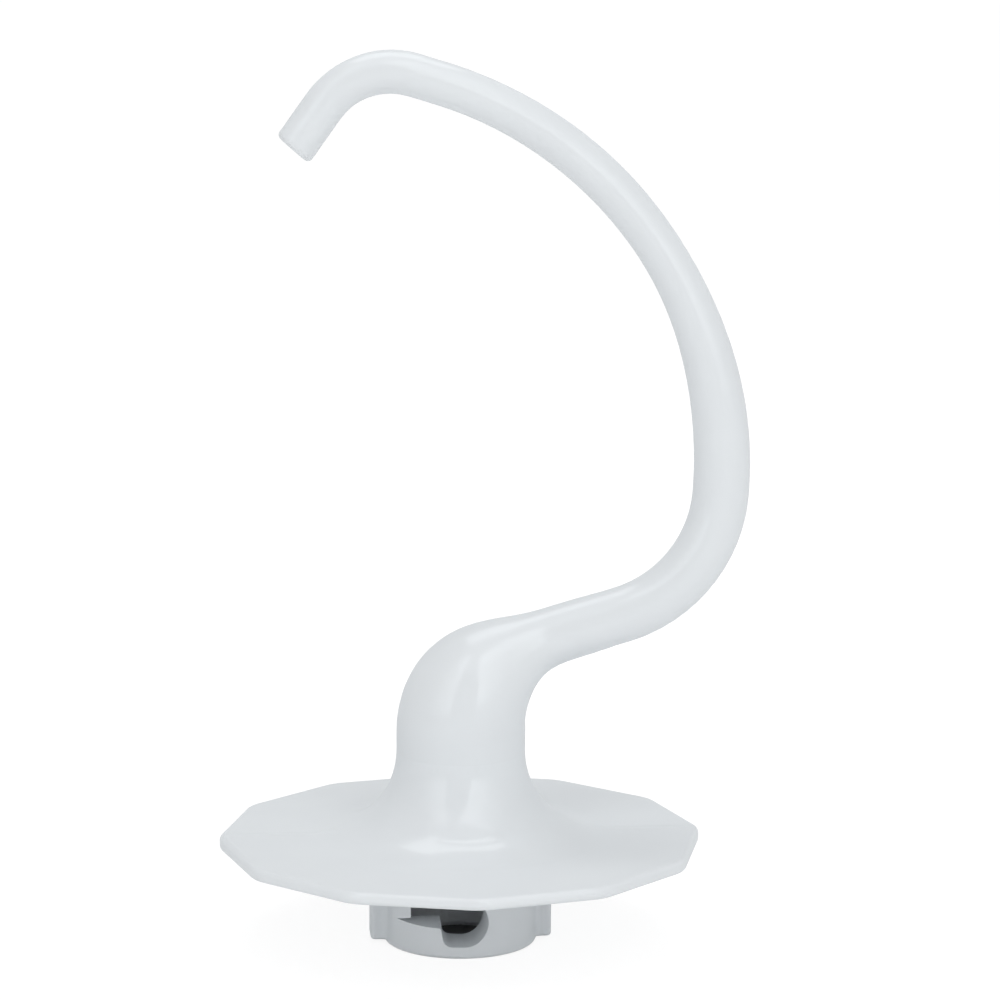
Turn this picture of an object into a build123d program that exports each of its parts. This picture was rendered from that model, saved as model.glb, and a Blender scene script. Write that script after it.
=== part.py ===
"""Dough hook for a stand mixer: one aluminium casting, white coated.

Millimetres. Z is the drive shaft's axis and points up, with the hub's open end at z = 0.
The hook bends in the XZ plane, which is also the plane where the two halves of the mould meet.
The hook's large curve is on the +X side.
"""

import os
from math import cos, hypot, radians, sin, tan

from build123d import *

# Hub: the round socket that slides onto the mixer's shaft
HUB_DIAMETER = 28.5
HUB_END_ROUND = 0.6
EAR_REACH = 2.65
EAR_WIDTH = 6.0
EAR_CORNER = 0.9
EAR_ROOT_ROUND = 1.8
EAR_SETBACK = 0.6

# Socket: a bore for the shaft, with a way in on one side for the pin that stands out of the shaft
SHAFT_DIAMETER = 12.7
SHAFT_CLEARANCE = 0.15
BORE_DEPTH = 38.0
BORE_END_ROUND = 2.0
MOUTH_STEP = 0.3
MOUTH_CHAMFER = 0.9
PIN_WAY_WIDTH = 12.0
PIN_WAY_WALL = 2.15

# Bayonet window: the pin turns over a ledge and drops into a seat
SEAT_RADIUS = 4.1
SEAT_CENTRE_X = -0.3
SEAT_FLOOR_HEIGHT = 2.6
SEAT_CORNER = 1.3
SEAT_WALL_X = -3.7
SEAT_WALL_LEAN = 11.0
LEDGE_RISE = 3.4
LEDGE_REACH = 9.75
SCOOP_RISE = 0.8
SCOOP_REACH = 2.4
WINDOW_DRAFT = 3.0

# Flange: a twelve-sided plate that keeps dough off the shaft
FLANGE_SIDES = 12
FLANGE_ACROSS_FLATS = 87.0
FLANGE_CORNER = 8.0
FLANGE_HEIGHT = 19.1
FLANGE_THICKNESS = 2.9
FLANGE_DRAFT = 0.5
RIM_ROUND_SHARE = 0.45
HUB_FLANGE_ROUND = 1.5

# Neck: rises from the flange in a wide flare
NECK_DIAMETER = 23.9
FLARE_RADIUS = 15.5
NECK_STRAIGHT = 3.4

# Shoulder: the curve that leads the neck over into the rod, from where the neck ends
SHOULDER_STAND = 10.5
SHOULDER_TURN_REACH = 9.8
SHOULDER_TURN_RISE = 14.5
SHOULDER_LEAD = 9.2
ROD_START_REACH = 8.2
ROD_START_RISE = 6.95

# Hook: a centre line of straights and arcs; headings are in degrees, up from +X
ROD_HEADING = 16.4
RUN_OUT_LENGTH = 10.1
LOWER_BEND_RADIUS = 25.4
SIDE_HEADING = 86.3
SIDE_RADIUS = 73.3
SIDE_MIDDLE_HEADING = 129.0
TOP_HEADING = 163.3
TOP_RUN_LENGTH = 4.88
END_BEND_RADIUS = 14.9
TIP_HEADING = 234.5
TIP_LENGTH = 9.45
TIP_LEAN = 5.5
TIP_ROUND = 1.0

# Hook: diameters where its stretches end
SHOULDER_DIAMETER = 10.7
ROD_DIAMETER = 10.4
SIDE_DIAMETER = 8.15
TOP_DIAMETER = 7.9
TIP_DIAMETER = 7.6

# Round sections laid along each stretch of the hook, counted by the steps between them
SECTIONS = 8

# Worked out from the values above
hub_radius = HUB_DIAMETER / 2
neck_radius = NECK_DIAMETER / 2
bore_radius = SHAFT_DIAMETER / 2 + SHAFT_CLEARANCE
mouth_radius = bore_radius + MOUTH_STEP
pin_way_radius = hub_radius - PIN_WAY_WALL
window_top = SEAT_FLOOR_HEIGHT + 2 * SEAT_RADIUS
ledge_height = SEAT_FLOOR_HEIGHT + LEDGE_RISE
flange_apothem = FLANGE_ACROSS_FLATS / 2
draft_slope = tan(radians(FLANGE_DRAFT))
rim_thickness = FLANGE_THICKNESS - 2 * flange_apothem * draft_slope
flange_top = FLANGE_HEIGHT + FLANGE_THICKNESS / 2
flange_underside = FLANGE_HEIGHT - FLANGE_THICKNESS / 2
neck_top = flange_top + FLARE_RADIUS + NECK_STRAIGHT
rod_start_x = neck_radius + ROD_START_REACH
rod_start_z = neck_top + neck_radius + ROD_START_RISE
tip_spare = TIP_DIAMETER
overcut = 1.0
touch = 0.01


def front_half(shape):
    """Keep the part of a shape on the -Y side of the mould's parting plane."""
    return split(shape, bisect_by=Plane.XZ, keep=Keep.TOP)


def flange_plate():
    """Front half of the flange: its faces fall away from the parting plane by the draft."""
    outline = RegularPolygon(flange_apothem, FLANGE_SIDES, major_radius=False)
    outline = fillet(outline.vertices(), FLANGE_CORNER)
    prism = extrude(outline, FLANGE_THICKNESS, both=True)
    reach = 2 * flange_apothem
    ridge = FLANGE_THICKNESS / 2
    edge = ridge - reach * draft_slope
    wedge = Plane.YZ * Polygon((0, ridge), (-reach, edge), (-reach, -edge), (0, -ridge), align=None)
    plate = prism & extrude(wedge, reach, both=True)
    rim = [e for e in plate.edges() if is_rim(e)]
    plate = fillet(rim, RIM_ROUND_SHARE * rim_thickness)
    return Pos(0, 0, FLANGE_HEIGHT) * plate


def is_rim(edge):
    """True for the long edges round the flange, false for corners and for the parting plane."""
    middle = edge.position_at(0.5)
    start, end = edge.position_at(0), edge.position_at(1)
    upright = abs(start.Z - end.Z) > FLANGE_THICKNESS / 2
    return middle.Y < -touch and not upright


def hub_half():
    """Front half of the hub with its two ears, up to the flange."""
    barrel = extrude(Circle(hub_radius), FLANGE_HEIGHT)
    barrel = fillet(barrel.edges().group_by(Axis.Z)[0], HUB_END_ROUND)
    plan = Circle(hub_radius) + RectangleRounded(HUB_DIAMETER + 2 * EAR_REACH, EAR_WIDTH, EAR_CORNER)
    roots = [v for v in plan.vertices() if abs(hypot(v.X, v.Y) - hub_radius) < touch]
    plan = fillet(roots, EAR_ROOT_ROUND)
    ears = Pos(0, 0, EAR_SETBACK) * extrude(plan, FLANGE_HEIGHT - EAR_SETBACK)
    ears = fillet(ears.edges().group_by(Axis.Z)[0], HUB_END_ROUND)
    return front_half(barrel + ears)


def body_half():
    """Front half of everything below the bend, with the flare above the flange."""
    neck = front_half(Pos(0, 0, FLANGE_HEIGHT) * extrude(Circle(neck_radius), neck_top - FLANGE_HEIGHT))
    body = flange_plate() + neck
    flare = [e for e in body.edges() if is_neck_foot(e)]
    body = fillet(flare, FLARE_RADIUS) + hub_half()
    root = [e for e in body.edges() if is_hub_root(e)]
    return fillet(root, HUB_FLANGE_ROUND)


def is_hub_root(edge):
    """True for the edges where the hub meets the underside of the flange."""
    middle = edge.position_at(0.5)
    near_underside = abs(middle.Z - flange_underside) < FLANGE_THICKNESS / 2
    near_hub = hypot(middle.X, middle.Y) < hub_radius + EAR_REACH + touch
    return near_underside and near_hub and middle.Y < -touch


def is_neck_foot(edge):
    """True for the curved edge where the neck stands on the flange."""
    middle = edge.position_at(0.5)
    near_top = abs(middle.Z - flange_top) < FLANGE_THICKNESS / 2
    return near_top and abs(hypot(middle.X, middle.Y) - neck_radius) < touch


def ease(share):
    """A share that starts and ends level, so that a change runs smoothly into what it joins."""
    return share**3 * (10 - 15 * share + 6 * share**2)


def between(first, last, share):
    """A value on its way from one to another."""
    return first + (last - first) * share


def shoulder():
    """The bend where the neck thins into the rod."""
    foot = Vector(0, 0, neck_top)
    turn = foot + Vector(SHOULDER_TURN_REACH, 0, SHOULDER_TURN_RISE)
    rod_start = Vector(rod_start_x, 0, rod_start_z)
    rod_way = Vector(cos(radians(ROD_HEADING)), 0, sin(radians(ROD_HEADING)))
    lead = rod_start - rod_way * SHOULDER_LEAD
    path = Bezier(foot, foot + Vector(0, 0, SHOULDER_STAND), turn, lead, rod_start)
    sections = []
    for i in range(SECTIONS + 1):
        share = i / SECTIONS
        place = path.position_at(share, PositionMode.PARAMETER)
        facing = path.tangent_at(share, PositionMode.PARAMETER)
        diameter = between(NECK_DIAMETER, SHOULDER_DIAMETER, ease(share))
        sections.append(round_section(place, facing, diameter))
    return sweep(sections, path=path, multisection=True)


def arc_length(radius, start, end):
    """The length of an arc between two headings."""
    return radius * radians(end - start)


def stretches():
    """The rod from shoulder to tip: each stretch's length, its headings and its diameters."""
    lower = arc_length(LOWER_BEND_RADIUS, ROD_HEADING, SIDE_HEADING)
    side = arc_length(SIDE_RADIUS, SIDE_HEADING, SIDE_MIDDLE_HEADING)
    top = arc_length(SIDE_RADIUS, SIDE_MIDDLE_HEADING, TOP_HEADING)
    end = arc_length(END_BEND_RADIUS, TOP_HEADING, TIP_HEADING)
    return [
        (RUN_OUT_LENGTH, (ROD_HEADING, ROD_HEADING), (SHOULDER_DIAMETER, ROD_DIAMETER)),
        (lower, (ROD_HEADING, SIDE_HEADING), (ROD_DIAMETER, ROD_DIAMETER)),
        (side, (SIDE_HEADING, SIDE_MIDDLE_HEADING), (ROD_DIAMETER, SIDE_DIAMETER)),
        (top, (SIDE_MIDDLE_HEADING, TOP_HEADING), (SIDE_DIAMETER, TOP_DIAMETER)),
        (TOP_RUN_LENGTH, (TOP_HEADING, TOP_HEADING), (TOP_DIAMETER, TOP_DIAMETER)),
        (end, (TOP_HEADING, TIP_HEADING), (TOP_DIAMETER, TIP_DIAMETER)),
        (TIP_LENGTH + tip_spare, (TIP_HEADING, TIP_HEADING), (TIP_DIAMETER, TIP_DIAMETER)),
    ]


def round_section(place, facing, diameter):
    """A round section at a place in the hook's plane, square to the way it faces."""
    return Plane(place, x_dir=(0, 1, 0), z_dir=facing) * Circle(diameter / 2)


def chord(length, turn):
    """The straight distance across an arc of the given length and turn."""
    half = radians(turn) / 2
    return length * sin(half) / half if half else length


def rod_pieces():
    """A loft for each stretch, each starting on the round section where the last one ended."""
    place = Vector(rod_start_x, 0, rod_start_z)
    pieces = []
    for length, headings, diameters in stretches():
        step = chord(length / SECTIONS, (headings[1] - headings[0]) / SECTIONS)
        sections = []
        for i in range(SECTIONS + 1):
            heading = radians(between(*headings, i / SECTIONS))
            facing = Vector(cos(heading), 0, sin(heading))
            sections.append(round_section(place, facing, between(*diameters, ease(i / SECTIONS))))
            if i < SECTIONS:
                middle = radians(between(*headings, (i + 0.5) / SECTIONS))
                place = place + Vector(cos(middle), 0, sin(middle)) * step
        pieces.append(loft(sections))
    return pieces


def cut_tip(tip):
    """The rod's last stretch cut off a little out of square, with the cut's edge rounded."""
    far_end = tip.faces().filter_by(GeomType.PLANE).sort_by(Axis.X)[0]
    heading = radians(TIP_HEADING)
    place = far_end.center() - Vector(cos(heading), 0, sin(heading)) * tip_spare
    facing = radians(TIP_HEADING - TIP_LEAN)
    cut = Plane(place, x_dir=(0, 1, 0), z_dir=(cos(facing), 0, sin(facing)))
    tip = split(tip, bisect_by=cut, keep=Keep.BOTTOM)
    end_face = tip.faces().filter_by(GeomType.PLANE).sort_by(Axis.X)[0]
    return fillet(end_face.edges(), TIP_ROUND)


def hook():
    """The shoulder and the rod, down to its tip."""
    *pieces, tip = rod_pieces()
    return shoulder() + pieces + cut_tip(tip)


def socket():
    """What the mould's core leaves open along the shaft's axis."""
    bore = extrude(Circle(bore_radius), BORE_DEPTH)
    bore = fillet(bore.edges().group_by(Axis.Z)[-1], BORE_END_ROUND)
    pin_side = Pos(-pin_way_radius / 2, 0) * Rectangle(pin_way_radius, PIN_WAY_WIDTH)
    pin_way = Circle(pin_way_radius) & pin_side
    mouth = extrude(Circle(mouth_radius) + pin_way, window_top + overcut)
    lead_in = extrude(Circle(mouth_radius + MOUTH_CHAMFER), MOUTH_CHAMFER, taper=45)
    return bore + Pos(0, 0, -overcut) * mouth + lead_in


def window_outline(scoop_reach):
    """The bayonet window seen from the front: the pin's way over the ledge, and its seat."""
    wall_top_x = SEAT_WALL_X - LEDGE_RISE * tan(radians(SEAT_WALL_LEAN))
    seat_z = SEAT_FLOOR_HEIGHT + SEAT_RADIUS
    floor_left = (SEAT_WALL_X, SEAT_FLOOR_HEIGHT)
    floor_right = (SEAT_CENTRE_X, SEAT_FLOOR_HEIGHT)
    seat_side = (SEAT_CENTRE_X + SEAT_RADIUS, seat_z)
    seat_top = (SEAT_CENTRE_X, window_top)
    sides = Polyline(
        seat_top,
        (-LEDGE_REACH, window_top),
        (-LEDGE_REACH, ledge_height + SCOOP_RISE),
        (-LEDGE_REACH - scoop_reach, ledge_height),
        (wall_top_x, ledge_height),
        floor_left,
        floor_right,
    )
    outline = make_face(Curve() + [sides, ThreePointArc(floor_right, seat_side, seat_top)])
    corner = outline.vertices().sort_by_distance(floor_left)[0]
    return fillet(corner, SEAT_CORNER)


def window():
    """The window through the hub's front wall, with a shallow scoop at the ledge's left end."""
    wall_inside = Plane((0, -mouth_radius, 0), x_dir=(1, 0, 0), z_dir=(0, -1, 0))
    opening = extrude(wall_inside * window_outline(SCOOP_REACH), hub_radius, taper=-WINDOW_DRAFT)
    return opening + extrude(wall_inside * window_outline(0), -mouth_radius)


def dough_hook():
    """The whole casting."""
    half = body_half()
    body = half + mirror(half, about=Plane.XZ)
    return body + hook() - socket() - window()


def main():
    os.makedirs("parts", exist_ok=True)
    export_step(dough_hook(), "parts/dough_hook.step")


if __name__ == "__main__":
    main()
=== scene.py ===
"""Looks for the dough hook: its white coating, the studio's light and floor, and the camera.

Metres, in the part's own frame: Z is the drive shaft's axis, the hub's open end is at z = 0,
and the hook bends in the XZ plane with its large curve on the +X side.
"""

from math import cos, pi, radians, sin

import bpy
from mathutils import Matrix, Vector

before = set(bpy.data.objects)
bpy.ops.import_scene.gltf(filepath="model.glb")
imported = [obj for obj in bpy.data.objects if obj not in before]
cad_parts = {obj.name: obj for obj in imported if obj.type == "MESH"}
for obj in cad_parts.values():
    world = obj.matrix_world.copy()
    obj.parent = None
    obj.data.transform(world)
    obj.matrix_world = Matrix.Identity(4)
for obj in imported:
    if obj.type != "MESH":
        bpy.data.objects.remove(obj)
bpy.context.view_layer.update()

# Camera: where it stands, the point it looks at, its roll in degrees, and its lens and sensor in mm
CAMERA_PLACE = (-0.04765, -0.58211, 0.17844)
CAMERA_AIM = (0.00706, 0.0, 0.08293)
CAMERA_ROLL = 0.33
CAMERA_LENS = 116.1
SENSOR_WIDTH = 36.0

# Coating: a cool white with broad faint waves and a fine peel, as a sprayed coat has.
# Its gloss is a small share of metal, which doesn't grow towards the edges as a clear coat's does:
# the photograph has no bright edges.
COAT_COLOR = (0.735, 0.765, 0.785, 1.0)
COAT_COLOR_THIN = (0.715, 0.742, 0.765, 1.0)
COAT_SHEEN = 0.06
COAT_SPECULAR = 0.0
COAT_ROUGHNESS = (0.09, 0.13)
WAVE_SIZE = 0.012
WAVE_DETAIL = 1.0
WAVE_DEPTH = 0.00003
PEEL_SIZE = 0.0016
PEEL_DETAIL = 2.0
PEEL_DEPTH = 0.000004

# Seam: the low ridge that the mould's two halves leave across the flange. It rises between two
# distances from the shaft's axis and fades out between two heights.
SEAM_HALF_WIDTH = 0.0011
SEAM_DEPTH = 0.00008
SEAM_REACH = (0.016, 0.025)
SEAM_TOP = (0.028, 0.032)

# Room: its level at the horizon, and the level from an elevation in degrees upwards
HORIZON_LEVEL = 0.84
ROOM_LEVEL = 0.46
ROOM_LEVEL_FROM = 40.0

# Soft boxes: the bearing from -Y towards +X, the elevation and the angle the box faces down by, in
# degrees, then its size, its radiance, and the shares of that at its two ends, the lesser bearing first
SOFT_BOXES = {
    "soft_box_left": {
        "bearing": -52.0, "elevation": 47.7, "dip": 0.0,
        "width": 0.65, "height": 1.68, "radiance": 1.1, "ends": (0.1, 1.0),
    },
    "soft_box_right": {
        "bearing": 36.0, "elevation": 35.0, "dip": 35.0,
        "width": 1.1, "height": 1.5, "radiance": 1.48, "ends": (1.0, 0.15),
    },
    "soft_box_top": {
        "bearing": 178.0, "elevation": 75.0, "dip": 75.0,
        "width": 0.90, "height": 0.72, "radiance": 2.0, "ends": (1.0, 1.0),
    },
    "soft_box_front": {
        "bearing": -5.0, "elevation": 65.0, "dip": 65.0,
        "width": 1.2, "height": 0.90, "radiance": 0.4, "ends": (1.0, 1.0),
    },
}
BOX_DISTANCE = 1.2
LIGHT_AIM = (0.0, 0.0, 0.06)

# Floor: white to the eye by a glow that only camera, glossy and transmission rays meet.
# The light shadow round the part is real shade, deepened by painted shade, as the glow is weaker near the
# part;
# the dark under its hub is real shade, with the glow cut out there as painted shade.
# The glow runs between two levels over two distances from the shaft's axis, and starts at the hub's edge.
FLOOR_HALF = 60.0
FLOOR_COLOR = (0.96, 0.96, 0.96, 1.0)
FLOOR_SEEN_COLOR = (0.2, 0.2, 0.2, 1.0)
# The lower glow level, near the part, is painted shade.
GLOW_LEVELS = (0.87, 0.92)
GLOW_REACH = (0.06, 0.5)
# Painted shade under the hub: the glow fades out inside these distances.
HUB_EDGE = (0.013, 0.0143)
WHITE = (1.0, 1.0, 1.0, 1.0)


def new_material(name):
    """An empty node material and its node tree."""
    material = bpy.data.materials.new(name)
    material.use_nodes = True
    material.node_tree.nodes.clear()
    return material, material.node_tree


def add_noise(tree, coordinates, size, detail):
    """A noise with features of about the given size in metres."""
    noise = tree.nodes.new("ShaderNodeTexNoise")
    noise.inputs["Scale"].default_value = 1.0 / size
    noise.inputs["Detail"].default_value = detail
    tree.links.new(coordinates, noise.inputs["Vector"])
    return noise.outputs["Fac"]


def add_bump(tree, height, depth, below=None):
    """A bump of the given depth in metres, on top of another bump if there is one."""
    bump = tree.nodes.new("ShaderNodeBump")
    bump.inputs["Strength"].default_value = 1.0
    bump.inputs["Distance"].default_value = depth
    tree.links.new(height, bump.inputs["Height"])
    if below:
        tree.links.new(below, bump.inputs["Normal"])
    return bump.outputs["Normal"]


def add_range(tree, value, source, low, high):
    """A value that runs smoothly from low to high as another runs between a pair of numbers."""
    node = tree.nodes.new("ShaderNodeMapRange")
    node.interpolation_type = "SMOOTHSTEP"
    node.inputs["From Min"].default_value = source[0]
    node.inputs["From Max"].default_value = source[1]
    node.inputs["To Min"].default_value = low
    node.inputs["To Max"].default_value = high
    tree.links.new(value, node.inputs["Value"])
    return node.outputs["Result"]


def add_math(tree, operation, first, second=None):
    """One step of arithmetic on one or two values."""
    node = tree.nodes.new("ShaderNodeMath")
    node.operation = operation
    tree.links.new(first, node.inputs[0])
    if second:
        tree.links.new(second, node.inputs[1])
    return node.outputs["Value"]


def add_color_mix(tree, factor, first, second):
    """A colour between two colours."""
    mix = tree.nodes.new("ShaderNodeMix")
    mix.data_type = "RGBA"
    mix.inputs["A"].default_value = first
    mix.inputs["B"].default_value = second
    tree.links.new(factor, mix.inputs["Factor"])
    return mix.outputs["Result"]


def add_shader_mix(tree, factor, first, second):
    """A shader between two shaders."""
    mix = tree.nodes.new("ShaderNodeMixShader")
    tree.links.new(factor, mix.inputs["Fac"])
    tree.links.new(first, mix.inputs[1])
    tree.links.new(second, mix.inputs[2])
    return mix.outputs["Shader"]


def add_diffuse(tree, color):
    """A plain matt shader."""
    diffuse = tree.nodes.new("ShaderNodeBsdfDiffuse")
    diffuse.inputs["Color"].default_value = color
    return diffuse.outputs["BSDF"]


def split(tree, vector):
    """The X, Y and Z of a vector."""
    parts = tree.nodes.new("ShaderNodeSeparateXYZ")
    tree.links.new(vector, parts.inputs["Vector"])
    return parts.outputs


def set_surface(tree, shader):
    """Make a shader the material's surface."""
    output = tree.nodes.new("ShaderNodeOutputMaterial")
    tree.links.new(shader, output.inputs["Surface"])


def seam_height(tree, place):
    """How high the mould's seam stands: it follows the plane y = 0 over the flange only."""
    parts = split(tree, place)
    across = add_range(tree, add_math(tree, "ABSOLUTE", parts["Y"]), (0.0, SEAM_HALF_WIDTH), 1.0, 0.0)
    out = add_range(tree, add_math(tree, "ABSOLUTE", parts["X"]), SEAM_REACH, 0.0, 1.0)
    low = add_range(tree, parts["Z"], SEAM_TOP, 1.0, 0.0)
    return add_math(tree, "MULTIPLY", across, add_math(tree, "MULTIPLY", out, low))


def coating():
    """The white coat: glossy, and a little uneven in colour, gloss and surface."""
    material, tree = new_material("white_coating_gloss")
    place = tree.nodes.new("ShaderNodeTexCoord").outputs["Object"]
    waves = add_noise(tree, place, WAVE_SIZE, WAVE_DETAIL)
    peel = add_noise(tree, place, PEEL_SIZE, PEEL_DETAIL)
    shader = tree.nodes.new("ShaderNodeBsdfPrincipled")
    shader.inputs["Specular IOR Level"].default_value = COAT_SPECULAR
    shader.inputs["Metallic"].default_value = COAT_SHEEN
    color = add_color_mix(tree, waves, COAT_COLOR, COAT_COLOR_THIN)
    tree.links.new(color, shader.inputs["Base Color"])
    roughness = add_range(tree, waves, (0.0, 1.0), *COAT_ROUGHNESS)
    tree.links.new(roughness, shader.inputs["Roughness"])
    normal = add_bump(tree, waves, WAVE_DEPTH)
    normal = add_bump(tree, peel, PEEL_DEPTH, normal)
    normal = add_bump(tree, seam_height(tree, place), SEAM_DEPTH, normal)
    tree.links.new(normal, shader.inputs["Normal"])
    set_surface(tree, shader.outputs["BSDF"])
    return material


def seen_rays(tree):
    """One for the rays that show the background, nought for the rays that only carry light."""
    path = tree.nodes.new("ShaderNodeLightPath").outputs
    mirrored = add_math(tree, "MAXIMUM", path["Is Camera Ray"], path["Is Glossy Ray"])
    return add_math(tree, "MAXIMUM", mirrored, path["Is Transmission Ray"])


def floor_glow_with_painted_shade(tree):
    """How white the floor is seen: full far off, a little less near the part, none under its hub, the
    last two being painted shade.
    """
    distance = tree.nodes.new("ShaderNodeVectorMath")
    distance.operation = "LENGTH"
    place = tree.nodes.new("ShaderNodeNewGeometry").outputs["Position"]
    tree.links.new(place, distance.inputs[0])
    # Painted shade: the glow is weaker near the part.
    level = add_range(tree, distance.outputs["Value"], GLOW_REACH, *GLOW_LEVELS)
    # Painted shade: the glow is cut out under the hub.
    outside = add_range(tree, distance.outputs["Value"], HUB_EDGE, 0.0, 1.0)
    return add_math(tree, "MULTIPLY", level, outside)


def floor_material():
    """A white floor that keeps a light shadow, real shade deepened by painted shade near the part, and
    that can be looked through from below.
    """
    material, tree = new_material("floor")
    glow = tree.nodes.new("ShaderNodeEmission")
    glow.inputs["Color"].default_value = WHITE
    tree.links.new(floor_glow_with_painted_shade(tree), glow.inputs["Strength"])
    seen = tree.nodes.new("ShaderNodeAddShader")
    tree.links.new(add_diffuse(tree, FLOOR_SEEN_COLOR), seen.inputs[0])
    tree.links.new(glow.outputs["Emission"], seen.inputs[1])
    lit = add_diffuse(tree, FLOOR_COLOR)
    above = add_shader_mix(tree, seen_rays(tree), lit, seen.outputs["Shader"])
    clear = tree.nodes.new("ShaderNodeBsdfTransparent").outputs["BSDF"]
    from_below = tree.nodes.new("ShaderNodeNewGeometry").outputs["Backfacing"]
    set_surface(tree, add_shader_mix(tree, from_below, above, clear))
    return material


def add_floor():
    """A plain pale floor, level with the hub's open end."""
    mesh = bpy.data.meshes.new("floor")
    signs = ((-1, -1), (1, -1), (1, 1), (-1, 1))
    corners = [(x * FLOOR_HALF, y * FLOOR_HALF, 0.0) for x, y in signs]
    mesh.from_pydata(corners, [], [(0, 1, 2, 3)])
    mesh.materials.append(floor_material())
    floor = bpy.data.objects.new("floor", mesh)
    bpy.context.scene.collection.objects.link(floor)


def add_world():
    """The room: white to the camera, and lit more strongly towards the horizon."""
    world = bpy.data.worlds.new("room")
    world.use_nodes = True
    tree = world.node_tree
    direction = tree.nodes.new("ShaderNodeTexCoord").outputs["Generated"]
    rise = (0.0, sin(radians(ROOM_LEVEL_FROM)))
    level = add_range(tree, split(tree, direction)["Z"], rise, HORIZON_LEVEL, ROOM_LEVEL)
    to_camera = tree.nodes.new("ShaderNodeLightPath").outputs["Is Camera Ray"]
    background = tree.nodes["Background"]
    background.inputs["Color"].default_value = WHITE
    tree.links.new(add_math(tree, "MAXIMUM", level, to_camera), background.inputs["Strength"])
    bpy.context.scene.world = world


def look_at(place, aim, roll=0.0):
    """The matrix of a camera or lamp at a place, pointed at an aim, rolled in degrees."""
    direction = Vector(aim) - Vector(place)
    turn = direction.to_track_quat("-Z", "Y").to_matrix().to_4x4()
    return Matrix.Translation(place) @ turn @ Matrix.Rotation(radians(roll), 4, "Z")


def bearing_way(bearing, elevation):
    """The way from the part towards a bearing and an elevation in degrees."""
    turn = radians(bearing)
    rise = radians(elevation)
    return Vector((cos(rise) * sin(turn), -cos(rise) * cos(turn), sin(rise)))


def add_soft_box(name, bearing, elevation, dip, width, height, radiance, ends):
    """A lamp that faces the part; its power follows from its size and radiance."""
    lamp = bpy.data.lights.new(name, "AREA")
    lamp.shape = "RECTANGLE"
    lamp.size = width
    lamp.size_y = height
    lamp.energy = radiance * pi * width * height
    lamp.use_nodes = True
    tree = lamp.node_tree
    across = tree.nodes.new("ShaderNodeNewGeometry").outputs["Parametric"]
    level = add_range(tree, split(tree, across)["X"], (0.0, 1.0), *ends)
    tree.links.new(level, tree.nodes["Emission"].inputs["Strength"])
    box = bpy.data.objects.new(name, lamp)
    place = Vector(LIGHT_AIM) + BOX_DISTANCE * bearing_way(bearing, elevation)
    box.matrix_world = look_at(place, place - bearing_way(bearing, dip))
    box.visible_camera = False
    bpy.context.scene.collection.objects.link(box)


def add_camera():
    """The camera at the photograph's viewing angle."""
    data = bpy.data.cameras.new("camera")
    data.sensor_width = SENSOR_WIDTH
    data.lens = CAMERA_LENS
    camera = bpy.data.objects.new("camera", data)
    camera.matrix_world = look_at(CAMERA_PLACE, CAMERA_AIM, CAMERA_ROLL)
    bpy.context.scene.collection.objects.link(camera)
    bpy.context.scene.camera = camera


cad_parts["dough_hook"].material_slots[0].material = coating()
add_floor()
add_world()
for box_name, settings in SOFT_BOXES.items():
    add_soft_box(box_name, **settings)
add_camera()
bpy.context.scene.view_settings.view_transform = "Standard"
